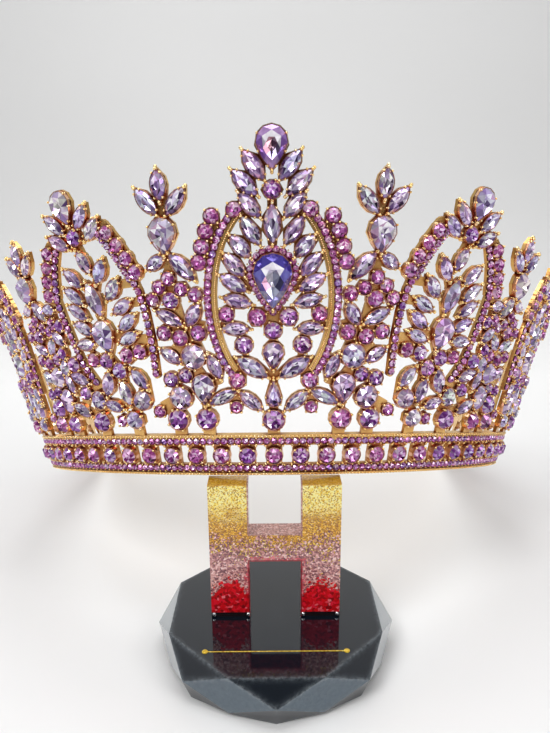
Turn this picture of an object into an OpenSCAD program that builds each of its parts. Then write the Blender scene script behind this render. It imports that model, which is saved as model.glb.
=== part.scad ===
/* [Band] */
// Radius of the band's outer bottom edge at the front
front_r = 81; // [78:0.5:86]
// Radius of the tighter bend at each side
side_r = 72; // [66:0.5:78]
// Turn at which the front bend gives way to the side bend, in degrees
front_turn = 50; // [44:1:56]
// Length of each straight tail behind the side bend
tail_len = 71; // [66:1:78]
// Outward lean of the whole crown wall, in degrees
flare = 20; // [16:1:23]
// Height of the band along the wall
band_h = 11.4; // [11:0.1:12.6]
// Thickness of the band
band_t = 1.2; // [1:0.1:2]
// Height of the plain rims at the band's top and bottom
rim_h = 0.8; // [0.6:0.1:1.2]
// How far the rims stand out of the band
rim_out = 0.5; // [0.3:0.1:0.8]
// Distance from one round stone of the band to the next
band_pitch = 6.7; // [6.4:0.1:7.2]
// Diameter of the band's round seats
seat_d = 4.6; // [4.2:0.1:5]
// How far the round seats stand out of the band
seat_out = 0.5; // [0.3:0.1:0.7]
// Width of the windows between the round seats, whose edges stand into them
window_w = 2.6; // [2.2:0.1:3.2]
// Height of the windows
window_h = 5.2; // [4.2:0.1:5.8]

/* [Castings] */
// Thickness of the pierced castings
plate_t = 1; // [0.8:0.1:1.6]
// Metal around each stone
stone_rim = 0.45; // [0.45:0.05:0.55]
// Width of the stoned ring round the centre pear
halo_w = 1.5; // [1:0.1:1.7]
// Radius that fills the corners between neighbouring seats
web_r = 0.55; // [0.45:0.05:0.65]
// Distance along the band from the centre panel to the first spire
spire_at = 20.6; // [20.4:0.2:21.2]
// Distance along the band from the first spire to the first oval panel
panel_step = 20.4; // [20:0.2:20.8]
// Distance along the band from the first oval panel to the second spire
spire2_step = 21; // [20.8:0.2:21.8]
// Distance along the band from the second spire to the second oval panel
panel2_step = 21; // [20.6:0.2:21.4]
// Distance along the band from the second oval panel to the third spire
spire3_step = 21; // [20.6:0.2:21.6]
// Height of the second spire and the second oval panel as a share of the first
second_grade = 0.85; // [0.83:0.01:0.88]
// Height of the third spire as a share of the first
third_grade = 0.7; // [0.6:0.01:0.8]
// Height of the first tail pear, and the length it loses to the last
tail_crest = 40; // [36:1:46]

/* [Stones] */
// Gap between a stone and the metal behind it
seat_gap = 0.15; // [0.1:0.05:0.3]
// Height of a stone as a share of its width
stone_rise = 0.34; // [0.25:0.01:0.45]
// Width of the table as a share of the stone's width
table_share = 0.52; // [0.4:0.01:0.65]

/* [Stand] */
// Distance from the centre of the base to a corner of its top
base_r = 30.5; // [28:0.5:34]
// Height of the base
base_h = 11.2; // [9.2:0.2:14]
// Width of the upright
upright_w = 35; // [32:0.5:38]
// Height of the upright
upright_h = 39.2; // [37:0.2:42]
// Thickness of the upright
upright_t = 6; // [5:0.5:8]
// Width of each of the upright's two posts
post_w = 10.6; // [9:0.2:12]
// Height of the upright's crossbar
bar_h = 8; // [7:0.5:10]
// Height of the opening under the crossbar
leg_gap_h = 16.9; // [14:0.1:19]
// Gap between the band and the upright that it rests on
rest_gap = 0.3; // [0.2:0.1:0.5]

/* [Hidden] */
// Columns of every stone table: grade, cut, across, up, turn, length, width.
// grade: "main" has a node of its own, "field" is in its motif's field, "fine" is a seat in the metal.
// across and up are in mm from the motif's axis and the band's bottom edge, outward positive.
// turn is in degrees clockwise from upright, and a pear points that way.
CENTRE_PAIRS = [
    ["main", "navette", 4.3, 77.8, 37, 8.2, 3.7],
    ["main", "navette", 6.5, 73.9, 46, 8.1, 3.7],
    ["main", "navette", 5.4, 68.8, 41, 7.4, 3.5],
    ["main", "navette", 5.2, 62.9, 33, 8, 3.5],
    ["main", "navette", 7.8, 59.2, 42, 6.9, 3.6],
    ["main", "navette", 9.3, 54.8, 42, 7.2, 3.6],
    ["main", "navette", 9.6, 50.4, 60, 7.4, 3.5],
    ["main", "navette", 8.7, 46, 76, 7.2, 3.3],
    ["main", "navette", 9.3, 39.1, 88, 6.8, 3.2],
    ["main", "navette", 5.3, 29.2, 57, 9, 4],
    ["main", "navette", 12.8, 21.5, 117, 7.8, 3.1],
    ["main", "navette", 5.8, 20.4, 49, 7.6, 3.2],
    ["fine", "round", 11.5, 42.7, 0, 3.5, 3.5],
    ["field", "round", 3.9, 42, 0, 4.2, 4.2],
    ["field", "round", 7.3, 35, 0, 4.2, 4.2],
    ["field", "round", 9.1, 25.8, 0, 3.9, 3.9],
    ["fine", "round", 9.5, 18.8, 0, 2.8, 2.8],
    ["fine", "round", 9.1, 67.8, 0, 3.4, 3.4],
    ["fine", "round", 14.5, 66.3, 0, 3.4, 3.4],
    ["fine", "round", 16, 62.8, 0, 3.4, 3.4],
    ["fine", "round", 17.1, 59.1, 0, 3.4, 3.4],
    ["fine", "round", 17.9, 55.4, 0, 3.4, 3.4],
];
CENTRE_LINE = [
    ["main", "pear", 0, 81.8, 180, 9.8, 7.3],
    ["field", "round", 0, 72.3, 0, 4.1, 4.1],
    ["main", "navette", 0, 64.5, 0, 9.2, 4],
    ["main", "pear", 0, 50.9, 180, 13.4, 9.4],
    ["field", "round", 0, 38.6, 0, 4.1, 4.1],
    ["main", "pear", 0, 32.3, 180, 6.8, 5.1],
    ["main", "pear", 0, 22.4, 0, 7, 3.8],
    ["field", "round", 0, 15.3, 0, 5.3, 5.3],
];
SPIRE = [
    ["field", "navette", 0.4, 74.8, 0, 7.2, 3.8],
    ["field", "navette", 4.1, 71.2, 36, 8, 3.6],
    ["field", "navette", -3.4, 70.6, -42, 8, 3.6],
    ["main", "pear", 0.9, 62.8, 180, 8.8, 6.9],
    ["field", "navette", 3.8, 56.5, 122, 5.6, 3.1],
    ["field", "navette", -3.1, 55, 41, 9, 3.9],
    ["fine", "round", 1, 52.4, 0, 3.2, 3.2],
    ["fine", "round", 3.7, 50.4, 0, 3.2, 3.2],
    ["fine", "round", -2.1, 49.6, 0, 3.2, 3.2],
    ["fine", "round", 5.9, 47.4, 0, 3.2, 3.2],
    ["field", "round", 1, 47, 0, 4, 4],
    ["fine", "round", -5.6, 48, 0, 3.3, 3.3],
    ["field", "navette", 2, 42.6, 59, 7.8, 3.3],
    ["field", "navette", -4.4, 43, -33, 6.7, 3.4],
    ["fine", "round", 3.9, 38.8, 0, 3.5, 3.5],
    ["fine", "round", -0.3, 37.4, 0, 3.8, 3.8],
    ["fine", "round", -5.3, 38.4, 0, 3.7, 3.7],
    ["field", "oval", -3.2, 32.4, -20, 6.6, 5.8],
    ["field", "navette", 2.9, 32.8, 53, 6.4, 3.2],
    ["field", "navette", -8.5, 29.6, 21, 6.8, 3.3],
    ["fine", "round", -0.4, 27.5, 0, 3.4, 3.4],
    ["fine", "round", 3.7, 26.6, 0, 3.6, 3.6],
    ["field", "round", 1.6, 21.6, 0, 5.8, 5.8],
    ["field", "pear", -4.9, 23.7, 180, 8, 6],
    ["fine", "round", 8.1, 18, 0, 2.8, 2.8],
    ["field", "round", -4.8, 15.7, 0, 5.3, 5.3],
    ["field", "round", 3.1, 15.7, 0, 5.3, 5.3],
];
// Seats on the second spire's inner side, towards the oval panel.
SPIRE2_INNER = [
    ["fine", "navette", -8, 48.4, 82, 6.2, 2.8],
    ["fine", "round", -7.8, 44.4, 0, 3.3, 3.3],
    ["fine", "round", -11.2, 43.4, 0, 3.3, 3.3],
    ["fine", "navette", -8.9, 40, 52, 6.4, 3],
    ["fine", "round", -8.6, 35.8, 0, 3.3, 3.3],
    ["fine", "oval", -7.9, 31.6, 0, 4.4, 3.6],
];
PANEL = [
    ["main", "pear", 2.6, 73.2, 193, 8.8, 6.2],
    ["field", "navette", -2.6, 70.2, -40, 7.2, 3.4],
    ["field", "navette", -5.4, 66.7, -46, 7, 3.5],
    ["field", "navette", 6.7, 69.4, 46, 7.8, 3.3],
    ["field", "navette", 6.6, 64.8, 58, 7.6, 3.3],
    ["field", "round", 0.9, 65.4, 0, 4.1, 4.1],
    ["fine", "round", -9.9, 65, 0, 3.5, 3.5],
    ["fine", "round", -12.3, 61.6, 0, 3.5, 3.5],
    ["fine", "round", -14.4, 58, 0, 3.5, 3.5],
    ["fine", "round", -16.3, 54.3, 0, 3.5, 3.5],
    ["fine", "round", 11.6, 62.6, 0, 3.3, 3.3],
    ["fine", "round", 13, 59, 0, 3.3, 3.3],
    ["fine", "round", 14, 55.4, 0, 3.3, 3.3],
    ["fine", "round", 14.6, 51.7, 0, 3.3, 3.3],
    ["field", "navette", -0.4, 58.9, 25, 6.8, 3.4],
    ["field", "navette", -5, 56, -33, 7, 3.6],
    ["field", "navette", -7.9, 51, -42, 6.8, 3.7],
    ["field", "navette", -9.8, 46.3, -67, 7.2, 3.3],
    ["main", "navette", -1.1, 49.1, 16, 9.6, 4.4],
    ["field", "navette", 4.6, 55.2, 43, 7.4, 3.2],
    ["field", "navette", 5.6, 50.6, 48, 7.4, 3.2],
    ["field", "navette", 5.5, 46.3, 54, 7.2, 3.2],
    ["field", "navette", 4.8, 41.8, 60, 7, 3.2],
    ["field", "navette", 5.5, 37.4, 88, 6.8, 3.2],
    ["main", "pear", -1.8, 39.1, 192, 8.8, 6.6],
    ["field", "navette", -10.4, 42.2, -60, 7.2, 3.3],
    ["field", "navette", -9.7, 38, -73, 7.2, 3.1],
    ["field", "round", -0.6, 32.5, 0, 4.1, 4.1],
    ["field", "round", -7.9, 33.6, 0, 4.1, 4.1],
    ["fine", "round", -12.4, 34.2, 0, 3.6, 3.6],
    ["field", "round", -4.4, 29.6, 0, 4.2, 4.2],
    ["fine", "round", 3.9, 33, 0, 3.5, 3.5],
    ["fine", "round", 11.6, 32.2, 0, 3.8, 3.8],
    ["field", "navette", 0.7, 26.2, -19, 7.2, 3.8],
    ["field", "navette", -4.7, 23.4, 12, 7, 3.7],
    ["field", "navette", -10.3, 27, 36, 6.8, 3.4],
    ["field", "navette", 0.4, 19.9, 72, 6.6, 3.1],
    ["field", "oval", -9.8, 21.2, -40, 6, 4.7],
    ["fine", "round", -1.3, 15.6, 0, 2.8, 2.8],
    ["field", "oval", -5.7, 15.8, 90, 5.4, 4.4],
    ["field", "round", 5.9, 15.5, 0, 5.3, 5.3],
    ["fine", "round", 9.6, 23.9, 0, 3.5, 3.5],
    ["fine", "oval", 5.4, 21.8, 0, 4.9, 4.2],
    ["fine", "navette", 10.6, 28.1, 66, 6.6, 3.1],
    ["fine", "navette", 12.4, 19, 58, 6.4, 3],
];
// Centre lines of the raised rails, as across and up: the wide arms first, then the narrow rail below them.
PANEL_INNER_ARM = [[-8.4, 66.2], [-11.1, 62.2], [-13.2, 58.3], [-15.2, 54.2]];
PANEL_INNER_RAIL = [[-14.4, 54.4], [-15.9, 49.5], [-16.6, 44], [-16.6, 36], [-15.8, 27.8]];
PANEL_OUTER_ARM = [[10, 63.4], [11.8, 59.4], [12.8, 55.4], [13.5, 51.4]];
PANEL_OUTER_RAIL = [[12.6, 51.6], [11.6, 45.5], [10.2, 38.6], [8.4, 32], [4.7, 26]];
// The row of the centre line that is the centre pear.
CENTRE_PEAR = 3;
// The centre panel's oval rail: its middle, half width and half height, and its width.
OVAL_UP = 46.8;
OVAL_HALF = [15.3, 24.8];
OVAL_W = 3.4;
// Turns from upright between which the rail runs, and the width of its raised plain inner edge.
OVAL_TURNS = [30, 140];
OVAL_STEPS = 20;
strip_w = 1.4;
strip_out = 0.6;
arm_w = 5.2;
rail_w = 2.1;
strut_w = 1.5;
// Small ties, as across and up of both ends.
CENTRE_TIES = [[0, 45, 0, 36], [9.1, 26, 10.5, 29], [7.3, 35, 7.2, 31], [13, 43, 11.5, 43], [0, 20, 0, 13], [0, 24, 0, 27],
    [0, 27, 3, 28], [0, 74, 0, 60], [12, 39.1, 14.5, 39.1], [8.5, 67.5, 7, 66], [9.1, 24, 9.3, 21],
    [9.1, 67.8, 9.6, 66.2], [14.5, 66.3, 16, 62.8]];
SPIRE_TIES = [[1, 70, 1.2, 66], [0.9, 60, 1, 50], [0, 46, -1, 41], [-1, 41, -2, 35], [-3, 30, -4.9, 27],
    [1.6, 26, 1.6, 23], [-4.9, 20, -4.8, 17], [7, 19.5, 4, 21], [-9, 26, -6, 25], [-1, 37, 3.5, 33],
    [-6, 41, -5.3, 38]];
SPIRE2_TIES = [[-6, 48, -2, 50], [-8.6, 48, -8.6, 28], [-11.2, 43.4, -5, 43]];
PANEL_TIES = [[2, 71, 1.4, 66], [1, 63, -1, 58], [-3, 54, -1, 50], [-1, 45, -2, 42], [-1, 34, -4, 30], [-4.5, 30, -4.6, 25],
    [-12, 34.2, -16, 34.2], [-10, 24, -9.8, 21], [5, 26, 9.6, 24], [5.9, 17, 3, 20], [9.6, 24, 12.2, 19],
    [12.2, 19, 8, 17.5], [5.4, 21, 5.8, 16], [5.4, 22, 9.6, 24],
    [0, 33, 4, 33], [8, 32.4, 11.6, 32.2], [-9, 52, -14, 52], [-12, 47, -16, 47], [-13, 37.4, -16, 37.4],
    [-9.7, 38, -1.8, 39.1], [-10.4, 42.2, -9.7, 38], [-5.7, 16, -4.7, 23], [-4.7, 21, 0.4, 19.9]];
// Middles of the feet that stand on the band, across from each motif's axis, and their width.
CENTRE_FEET = [0];
SPIRE_FEET = [-4.8, 3.1];
PANEL_FEET = [-5.7, 5.9];
foot_w = 2.4;
foot_sink = 1.4;
foot_top = 15;
// How far the flat castings stand out of the wall's outer face, so that they pass through the band's upper rim.
plate_out = 0.2;
// Distances along the band from the centre panel to the other motifs.
panel_at = spire_at + panel_step;
spire2_at = panel_at + spire2_step;
panel2_at = spire2_at + panel2_step;
spire3_at = panel2_at + spire3_step;
row_up = band_h / 2;
SIDES = [["left", -1], ["right", 1]];

round_sides = 8;
seat_sides = 12;
least_l = 6.8;
arc_steps = 3;
side_arc = side_r * (90 - front_turn) * PI / 180;
front_arc = front_r * front_turn * PI / 180;
half_path = front_arc + side_arc + tail_len;
side_centre = [(front_r - side_r) * sin(front_turn), -(front_r - side_r) * cos(front_turn)];
half_w = side_centre[0] + side_r;
tail_end = side_centre[1] + tail_len;
// The rim rests this high over the floor at the front and at zero at the tails' ends.
rim_up = base_h + upright_h + rest_gap;
// The band's inner bottom edge is what lies lowest over the upright's outer corners.
rest_y = sqrt(pow(front_r - band_t / cos(flare), 2) - pow(upright_w / 2, 2));
tilt = asin(rim_up / (rest_y + tail_end));
band_top = band_h * cos(flare) + band_t * sin(flare);
crown_up = tail_end * sin(tilt);
// The upright stands in front of that edge, and the base a little behind the upright.
base_back = 1.6;
upright_y = -rest_y * cos(tilt) - upright_t / 2 - 0.1;
base_y = upright_y + base_back;
corner_r = base_r / cos(22.5);
depth_front = base_y - corner_r;
depth_back = tail_end * cos(tilt) + band_top * sin(tilt);
origin_y = (depth_front + depth_back) / 2;
// The tail's castings: one pear over each round seat, lower towards the end.
TAIL_STEPS = 5;
tail_pitch = 11.5;
tail_first = 6;
tie_sink = 1;
tail_reach = tail_first + TAIL_STEPS * tail_pitch;
function tail_up(k) = band_h + (tail_crest - band_h) * (1 - k / TAIL_STEPS) + 6;
tail_plate_at = front_arc + side_arc;
TAIL = [for (k = [0:TAIL_STEPS - 1]) each [
    ["fine", "round", tail_first + k * tail_pitch, 15.5, 0, 5.3, 5.3],
    ["field", "pear", tail_first + k * tail_pitch, max(tail_up(k) - 5, 22.5), 0, 6.8, 4.8],
    ["fine", "round", tail_first + (k + 0.5) * tail_pitch, 17.5, 0, 3.3, 3.3],
]];
TAIL_TIES = [for (k = [0:TAIL_STEPS - 1])
    let(u = tail_first + k * tail_pitch)
    each [[u, 14, u, max(tail_up(k) - 5, 22.5)], [u, 17, u + tail_pitch / 2, 17.5],
        [u + tail_pitch / 2, 17.5, u + tail_pitch, k == TAIL_STEPS - 1 ? band_h - tie_sink : 17]]];
TAIL_FEET = [for (k = [0:TAIL_STEPS - 1]) tail_first + k * tail_pitch];

// Heading of the wall's outward normal, and the place of its bottom edge, at a distance along the band.
function heading(s) =
    s <= front_arc ? s / front_r * 180 / PI
    : s <= front_arc + side_arc ? front_turn + (s - front_arc) / side_r * 180 / PI
    : 90;
function place(s) =
    let(a = heading(s))
    s <= front_arc ? [front_r * sin(a), -front_r * cos(a)]
    : s <= front_arc + side_arc ? side_centre + side_r * [sin(a), -cos(a)]
    : [half_w, side_centre[1] + s - front_arc - side_arc];

// Outline of a cut stone with its long axis upright and a pear's point at the top.
function bulge(t, l, w) = let(r = (l * l + w * w) / (4 * w)) sqrt(r * r - pow(t * l / 2, 2)) - r + w / 2;
function navette_outline(l, w) = concat(
    [for (i = [0:arc_steps]) let(t = 1 - 2 * i / (arc_steps + 1)) [i == 0 ? 0 : bulge(t, l, w), t * l / 2]],
    [for (i = [0:arc_steps]) let(t = -1 + 2 * i / (arc_steps + 1)) [i == 0 ? 0 : -bulge(t, l, w), t * l / 2]]);
function oval_outline(l, w, n) = [for (i = [0:n - 1]) let(a = 360 * (i + 0.5) / n) [w / 2 * sin(a), l / 2 * cos(a)]];
function pear_outline(l, w) = concat(
    [[0, l / 2], [w * 0.27, l * 0.27]],
    [for (i = [0:6]) let(a = 30 * i) [w / 2 * cos(a), w / 2 - l / 2 - w / 2 * sin(a) + (a == 0 || a == 180 ? 0.1 * w : 0)]],
    [[-w * 0.27, l * 0.27]]);
function outline(cut, l, w) =
    cut == "navette" ? navette_outline(l, w)
    : cut == "pear" ? pear_outline(l, w)
    : oval_outline(l, w, round_sides);

// A cut stone with its flat back at z = 0: slanted facets up to a table.
module gem(cut, l, w) {
    ring = outline(cut, l, w);
    n = len(ring);
    rise = w * stone_rise;
    points = concat([for (p = ring) [p[0], p[1], 0]],
        [for (p = ring) [p[0] * table_share, p[1] * table_share, rise]]);
    sides = [for (i = [0:n - 1]) [i, i + n, (i + 1) % n + n, (i + 1) % n]];
    polyhedron(points, concat([[for (i = [0:n - 1]) i]], sides, [[for (i = [n - 1:-1:0]) n + i]]));
}

// A stone table row set at its place in the motif's own plane, scaled by the motif's grade.
// In the lowest motifs the small stones are seats in the metal.
function stone_scale(k) = k > 0.8 ? (k + 1) / 2 : k;
function graded(row, k) = [k <= 0.8 && row[5] < least_l ? "fine" : row[0], row[1], row[2] * min(1, k + 0.1),
    band_h + (row[3] - band_h) * k, row[4], row[5] * stone_scale(k), row[6] * stone_scale(k)];

module seat_outline(row) {
    translate([row[2], row[3]])
        rotate(-row[4])
            polygon(row[1] == "round" ? oval_outline(row[5], row[6], seat_sides) : outline(row[1], row[5], row[6]));
}

module strut(p, q, w) {
    d = q - p;
    translate(p)
        rotate(atan2(d[1], d[0]))
            translate([0, -w / 2])
                square([norm(d), w]);
    translate(q)
        circle(d = w, $fn = 12);
}

module run(points, w) {
    translate(points[0])
        circle(d = w, $fn = 12);
    for (i = [1:len(points) - 1])
        strut(points[i - 1], points[i], w);
}

module graded_flat(k) {
    translate([0, band_h * (1 - k)])
        scale([min(1, k + 0.1), k])
            children();
}

module ties(list) {
    for (t = list)
        strut([t[0], t[1]], [t[2], t[3]], strut_w);
}

// The posts that join a motif to the band.
module feet(list) {
    for (u = list)
        translate([u - foot_w / 2, band_h - foot_sink])
            square([foot_w, foot_top - band_h + foot_sink]);
}

// The flat casting of a motif: all its seats grown by the rim, their close corners filled, then thickened.
module casting() {
    translate([0, 0, -plate_t])
        linear_extrude(plate_t)
            offset(delta = -web_r)
                offset(delta = web_r + stone_rim)
                    children();
}

function oval_arc(grow) = [for (i = [0:OVAL_STEPS])
    let(a = OVAL_TURNS[0] + (OVAL_TURNS[1] - OVAL_TURNS[0]) * i / OVAL_STEPS)
    [(OVAL_HALF[0] + grow) * sin(a), OVAL_UP + (OVAL_HALF[1] + grow) * cos(a)]];

// One side of the oval between two distances from the rail's centre line.
module oval_strip(inner, outer) {
    back = oval_arc(inner);
    polygon(concat(oval_arc(outer), [for (i = [OVAL_STEPS:-1:0]) back[i]]));
}

module centre_flat() {
    for (row = CENTRE_LINE)
        seat_outline(row);
    offset(delta = halo_w - stone_rim, chamfer = true)
        seat_outline(CENTRE_LINE[CENTRE_PEAR]);
    for (m = [0, 1])
        mirror([m, 0]) {
            for (row = CENTRE_PAIRS)
                seat_outline(row);
            ties(CENTRE_TIES);
            oval_strip(stone_rim - OVAL_W / 2, OVAL_W / 2 - stone_rim);
        }
    feet(CENTRE_FEET);
}

module spire_flat(k) {
    for (row = SPIRE)
        seat_outline(graded(row, k));
    graded_flat(k)
        ties(SPIRE_TIES);
    feet(min(1, k + 0.1) * SPIRE_FEET);
}

module spire2_flat(k) {
    spire_flat(k);
    for (row = SPIRE2_INNER)
        seat_outline(row);
    ties(SPIRE2_TIES);
}

module panel_flat(k) {
    for (row = PANEL)
        seat_outline(graded(row, k));
    graded_flat(k) {
        ties(PANEL_TIES);
        run(PANEL_INNER_ARM, arm_w - 2 * stone_rim);
        run(PANEL_INNER_RAIL, rail_w - 2 * stone_rim);
        run(PANEL_OUTER_ARM, arm_w - 2 * stone_rim);
        run(PANEL_OUTER_RAIL, rail_w - 2 * stone_rim);
    }
    feet(min(1, k + 0.1) * PANEL_FEET);
}

module tail_flat() {
    for (row = TAIL)
        seat_outline(row);
    ties(TAIL_TIES);
    feet(TAIL_FEET);
}

// Puts what is drawn upright in the x-y plane, facing z, on the leaning wall at a distance along the band.
module on_wall(s, out = plate_out) {
    p = place(s);
    a = heading(s);
    translate([p[0], p[1], 0])
        rotate([0, 0, a])
            translate([0, -out, 0])
                rotate([90 + flare, 0, 0])
                    children();
}

module on_stand() {
    translate([0, -origin_y, crown_up])
        rotate([-tilt, 0, 0])
            children();
}

// The band's section: outward distance and height, with a flat bottom and a rim at each edge.
function leaning(v, out) = [v * sin(flare) + out * cos(flare), v * cos(flare) - out * sin(flare)];
BAND_SECTION = [
    [0, 0],
    [rim_out, 0],
    leaning(rim_h, rim_out),
    leaning(rim_h, 0),
    leaning(band_h - rim_h, 0),
    leaning(band_h - rim_h, rim_out),
    leaning(band_h, rim_out),
    leaning(band_h, -band_t),
    [-band_t / cos(flare), 0],
];
// Distances along the band at which its section stands: each seat and window of the bends, and the tail's end.
BEND_STEPS = ceil((front_arc + side_arc) / band_pitch * 2);
STATIONS = [for (i = [0:BEND_STEPS - 1]) i * band_pitch / 2, front_arc + side_arc, half_path];

module band_ring() {
    n = len(STATIONS);
    m = len(BAND_SECTION);
    rows = concat([for (i = [n - 1:-1:1]) [STATIONS[i], -1]], [for (i = [0:n - 1]) [STATIONS[i], 1]]);
    points = [for (row = rows, q = BAND_SECTION)
        let(a = heading(row[0]), p = place(row[0]))
        [row[1] * (p[0] + q[0] * sin(a)), p[1] - q[0] * cos(a), q[1]]];
    sides = [for (i = [0:len(rows) - 2], j = [0:m - 1])
        let(c = i * m, k = (j + 1) % m)
        each [[c + j, c + k, c + m + k], [c + j, c + m + k, c + m + j]]];
    last = (len(rows) - 1) * m;
    polyhedron(points, concat(sides, [[for (j = [m - 1:-1:0]) j]], [[for (j = [0:m - 1]) last + j]]));
}

SEATS = floor((half_path - seat_d) / band_pitch);

module band() {
    difference() {
        band_ring();
        for (i = [-SEATS:SEATS - 1])
            mirror([i < 0 ? 1 : 0, 0, 0])
                on_wall((i < 0 ? -i - 0.5 : i + 0.5) * band_pitch, 0)
                    translate([-window_w / 2, row_up - window_h / 2, -2 * band_t])
                        cube([window_w, window_h, 4 * band_t]);
    }
    for (i = [-SEATS:SEATS])
        mirror([i < 0 ? 1 : 0, 0, 0])
            on_wall(abs(i) * band_pitch, 0)
                translate([0, row_up, 0.2 - band_t])
                    cylinder(d = seat_d, h = band_t - 0.2 + seat_out, $fn = 32);
}

module crown_frame() {
    color("goldenrod")
        on_stand()
            union() {
                band();
                on_wall(0) {
                    casting()
                        centre_flat();
                    for (m = [0, 1])
                        mirror([m, 0, 0])
                            translate([0, 0, -plate_t / 2])
                                linear_extrude(plate_t / 2 + strip_out)
                                    oval_strip(-OVAL_W / 2, strip_w - OVAL_W / 2);
                }
                for (m = [0, 1])
                    mirror([m, 0, 0]) {
                        on_wall(spire_at)
                            casting()
                                spire_flat(1);
                        on_wall(panel_at)
                            casting()
                                panel_flat(1);
                        on_wall(spire2_at)
                            casting()
                                spire2_flat(second_grade);
                        on_wall(panel2_at)
                            casting()
                                panel_flat(second_grade);
                        on_wall(spire3_at)
                            casting()
                                spire_flat(third_grade);
                        on_wall(tail_plate_at)
                            casting()
                                tail_flat();
                    }
            }
}

module stone(row) {
    translate([row[2], row[3], seat_gap])
        rotate(-row[4])
            gem(row[1], row[5], row[6]);
}

function graded_rows(list, grade, k) = [for (row = list) let(r = graded(row, k)) if (r[0] == grade) r];

// One side's stones of a motif, on the right, or mirrored on the left.
module side_stones(side, s, rows) {
    on_stand()
        mirror([side < 0 ? 1 : 0, 0, 0])
            on_wall(s)
                for (row = rows)
                    stone(row);
}

// Every main stone: its name, side, distance along the band and row.
MAIN_STONES = concat(
    [for (i = [0:len(CENTRE_LINE) - 1]) if (CENTRE_LINE[i][0] == "main")
        [str("centre_stone_", i + 1), 1, 0, CENTRE_LINE[i]]],
    [for (i = [0:len(CENTRE_PAIRS) - 1]) if (CENTRE_PAIRS[i][0] == "main")
        for (side = SIDES)
            let(row = CENTRE_PAIRS[i])
            [str("navette_", side[0], "_", i + 1), side[1], 0, row]],
    [for (side = SIDES) each concat(
        [for (row = graded_rows(SPIRE, "main", 1)) [str("spire_pear_", side[0]), side[1], spire_at, row]],
        [for (row = graded_rows(SPIRE, "main", second_grade))
            [str("spire2_pear_", side[0]), side[1], spire2_at, row]],
        let(rows = graded_rows(PANEL, "main", 1))
        [for (i = [0:len(rows) - 1]) [str("panel_stone_", side[0], "_", i + 1), side[1], panel_at, rows[i]]])]);

module main_stone(entry) {
    color("mediumpurple")
        side_stones(entry[1], entry[2], [entry[3]]);
}

module centre_field() {
    color("orchid")
        for (side = SIDES) {
            side_stones(side[1], 0, [for (row = CENTRE_PAIRS) if (row[0] == "field") row]);
            if (side[1] > 0)
                side_stones(side[1], 0, [for (row = CENTRE_LINE) if (row[0] == "field") row]);
        }
}

module spire_field(side) {
    color("mediumorchid")
        side_stones(side, spire_at, graded_rows(SPIRE, "field", 1));
}

module panel_field(side) {
    color("plum")
        side_stones(side, panel_at, graded_rows(PANEL, "field", 1));
}

module spire2_field(side) {
    color("mediumorchid")
        side_stones(side, spire2_at, graded_rows(SPIRE, "field", second_grade));
}

module panel2_field(side) {
    color("plum") {
        side_stones(side, panel2_at, graded_rows(PANEL, "main", second_grade));
        side_stones(side, panel2_at, graded_rows(PANEL, "field", second_grade));
    }
}

module back_field(side) {
    color("mediumorchid") {
        side_stones(side, spire3_at, graded_rows(SPIRE, "main", third_grade));
        side_stones(side, spire3_at, graded_rows(SPIRE, "field", third_grade));
        side_stones(side, tail_plate_at, [for (row = TAIL) if (row[0] == "field") row]);
    }
}

// The base: an eight-sided top over a wider ring of corners turned by half a side, then in again to the foot.
// Columns: distance of the corners from the middle, height, and turn.
module stand_base() {
    rings = [[base_r, base_h, 22.5], [corner_r, base_h * 0.56, 0], [base_r, base_h * 0.11, 22.5],
        [base_r, 0, 0]];
    points = [for (ring = rings) for (i = [0:7])
        let(a = 45 * i + ring[2])
        [ring[0] * sin(a), -ring[0] * cos(a), ring[1]]];
    color([0.1, 0.1, 0.12])
        translate([0, base_y - origin_y, 0])
            hull()
                polyhedron(points, [for (k = [0:3]) [for (i = [0:7]) 8 * k + i]]);
}

module stand_upright() {
    gap_w = upright_w - 2 * post_w;
    color("hotpink")
        translate([0, upright_y - origin_y + upright_t / 2, base_h])
            rotate([90, 0, 0])
                linear_extrude(upright_t)
                    difference() {
                        translate([-upright_w / 2, 0])
                            square([upright_w, upright_h]);
                        translate([-gap_w / 2, -1])
                            square([gap_w, leg_gap_h + 1]);
                        translate([-gap_w / 2, leg_gap_h + bar_h])
                            square([gap_w, upright_h]);
                    }
}

crown_frame();
stand_base();
stand_upright();
centre_field();
for (side = SIDES) {
    spire_field(side[1]);
    panel_field(side[1]);
    spire2_field(side[1]);
    panel2_field(side[1]);
    back_field(side[1]);
}
for (entry = MAIN_STONES)
    main_stone(entry);
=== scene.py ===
import math
from collections import namedtuple

import bpy
import numpy as np
from mathutils import Matrix, Vector
from mathutils.kdtree import KDTree


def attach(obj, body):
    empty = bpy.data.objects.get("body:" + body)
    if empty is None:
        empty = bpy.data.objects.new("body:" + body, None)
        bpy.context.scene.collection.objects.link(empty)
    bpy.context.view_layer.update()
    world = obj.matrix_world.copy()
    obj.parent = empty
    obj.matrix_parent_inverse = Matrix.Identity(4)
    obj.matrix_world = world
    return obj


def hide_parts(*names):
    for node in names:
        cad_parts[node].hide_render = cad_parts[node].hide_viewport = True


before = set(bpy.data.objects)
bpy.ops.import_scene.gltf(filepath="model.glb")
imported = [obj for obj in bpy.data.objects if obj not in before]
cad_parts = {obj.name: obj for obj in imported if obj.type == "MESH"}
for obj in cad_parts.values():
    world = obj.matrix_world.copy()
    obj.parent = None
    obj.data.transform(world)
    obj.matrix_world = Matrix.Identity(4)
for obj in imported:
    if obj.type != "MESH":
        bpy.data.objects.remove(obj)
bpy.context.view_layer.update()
rng = np.random.default_rng(11)
MM = 0.001
WHITE, BLACK = (1, 1, 1), (0, 0, 0)

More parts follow.
